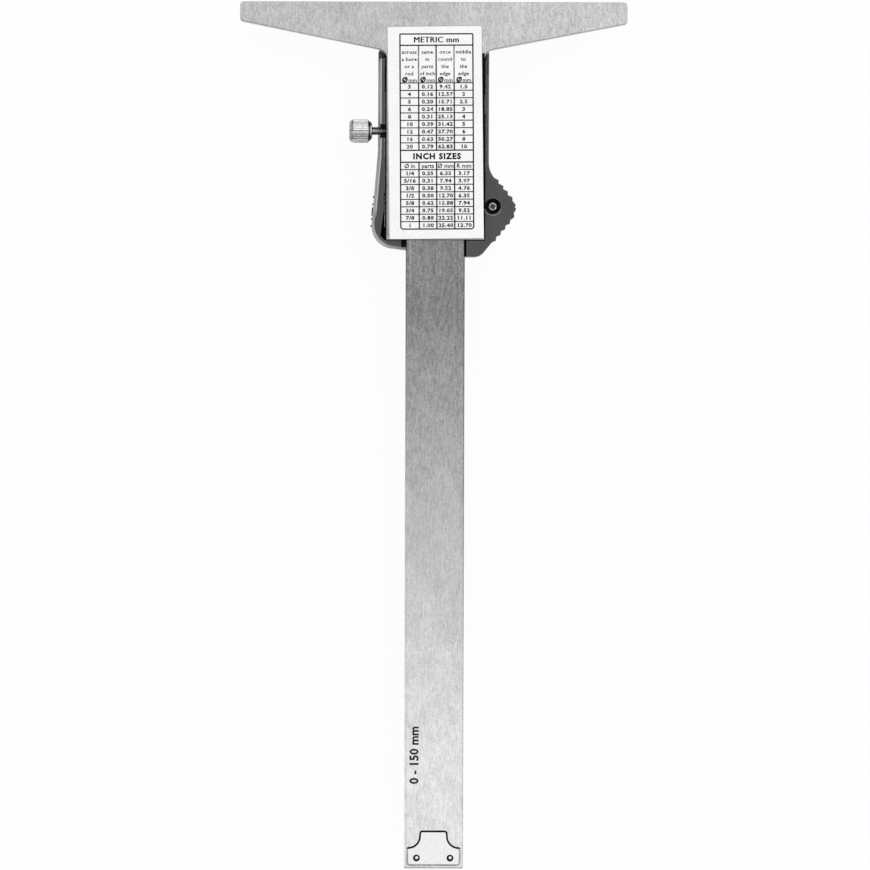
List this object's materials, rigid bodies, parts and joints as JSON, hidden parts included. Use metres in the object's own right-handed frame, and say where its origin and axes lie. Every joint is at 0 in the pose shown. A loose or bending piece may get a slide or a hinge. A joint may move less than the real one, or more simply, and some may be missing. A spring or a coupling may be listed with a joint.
{
  "type": "digital depth gauge",
  "caption": "T-shaped digital depth gauge: a flat steel beam slides through a wide bridge with a display housing, a thumb rest, keys, a battery door and a lock screw.",
  "frame": {"origin": "middle of the beam's measuring tip at reading 0, in the plane of the bridge's measuring face, at half the beam's thickness", "axes": "+Y out of the measuring face, along the beam; +Z out of the plain back; +X to the right when the back is seen with the bridge on top. The display faces -Z."},
  "size_m": [0.105, 0.2349, 0.0169],
  "materials": {
    "steel_tee": "satin ground stainless steel",
    "steel_beam": "fine lengthwise grain, worn",
    "stop_steel": "bright pressed plate",
    "screw_steel": "plain steel",
    "knob_chrome": "knurled, bright",
    "gib_brass": "plain",
    "label_white": "printed plate, satin",
    "dark_plastic": "fine moulded texture",
    "light_plastic": "silver-grey moulded",
    "door_black": "fine moulded texture",
    "window_clear": "clear",
    "lcd_grey": "display glass",
    "soft_rubber": "silicone",
    "board_green": "solder resist",
    "film_grey": "printed film",
    "key_plastic": "satin keys",
    "cell_steel": "plated can",
    "contact_nickel": "plated spring strip"
  },
  "bodies": {
    "gauge_body": {"bridge_frame": "steel_tee", "end_keeper": "steel_tee", "keeper_screws": "screw_steel", "gib_screws": "screw_steel", "housing_screws": "screw_steel", "thumb_rest_screw": "screw_steel", "gib_strip": "gib_brass", "lock_pad": "gib_brass", "rear_label": "label_white", "housing_frame": "dark_plastic", "thumb_rest_cover": "dark_plastic", "front_bezel": "light_plastic", "display_window": "window_clear", "lcd_panel": "lcd_grey", "lcd_connector": "soft_rubber", "keypad_mat": "soft_rubber", "circuit_board": "board_green", "coin_cell": "cell_steel", "contact_plus": "contact_nickel", "contact_minus": "contact_nickel"},
    "beam_body": {"beam": "steel_beam", "scale_strip": "board_green", "scale_film": "film_grey", "stop_plate": "stop_steel", "stop_rivets": "screw_steel"},
    "lock_body": {"lock_screw": "knob_chrome"},
    "power_key": {"button_power": "key_plastic"},
    "zero_key": {"button_zero": "key_plastic"},
    "unit_key": {"button_unit": "key_plastic"},
    "door_body": {"battery_door": "door_black"}
  },
  "joints": [
    {"name": "beam_slide", "type": "slide", "parent": "gauge_body", "child": "beam_body", "axis": [0, 1, 0], "range_m": [0, 0.1599]},
    {"name": "lock_turn", "type": "hinge", "parent": "gauge_body", "child": "lock_body", "pos_m": [-0.0205, -0.035, 0], "axis": [1, 0, 0], "range_deg": [-360, 90]},
    {"name": "power_press", "type": "slide", "parent": "gauge_body", "child": "power_key", "axis": [0, 0, 1], "range_m": [0, 0.0005], "stiffness_N_per_m": 400, "springref_m": -0.0005},
    {"name": "zero_press", "type": "slide", "parent": "gauge_body", "child": "zero_key", "axis": [0, 0, 1], "range_m": [0, 0.0005], "stiffness_N_per_m": 400, "springref_m": -0.0005},
    {"name": "unit_press", "type": "slide", "parent": "gauge_body", "child": "unit_key", "axis": [0, 0, 1], "range_m": [0, 0.0005], "stiffness_N_per_m": 400, "springref_m": -0.0005},
    {"name": "door_slide", "type": "slide", "parent": "gauge_body", "child": "door_body", "axis": [0, -1, 0], "range_m": [0, 0.0185]}
  ]
}
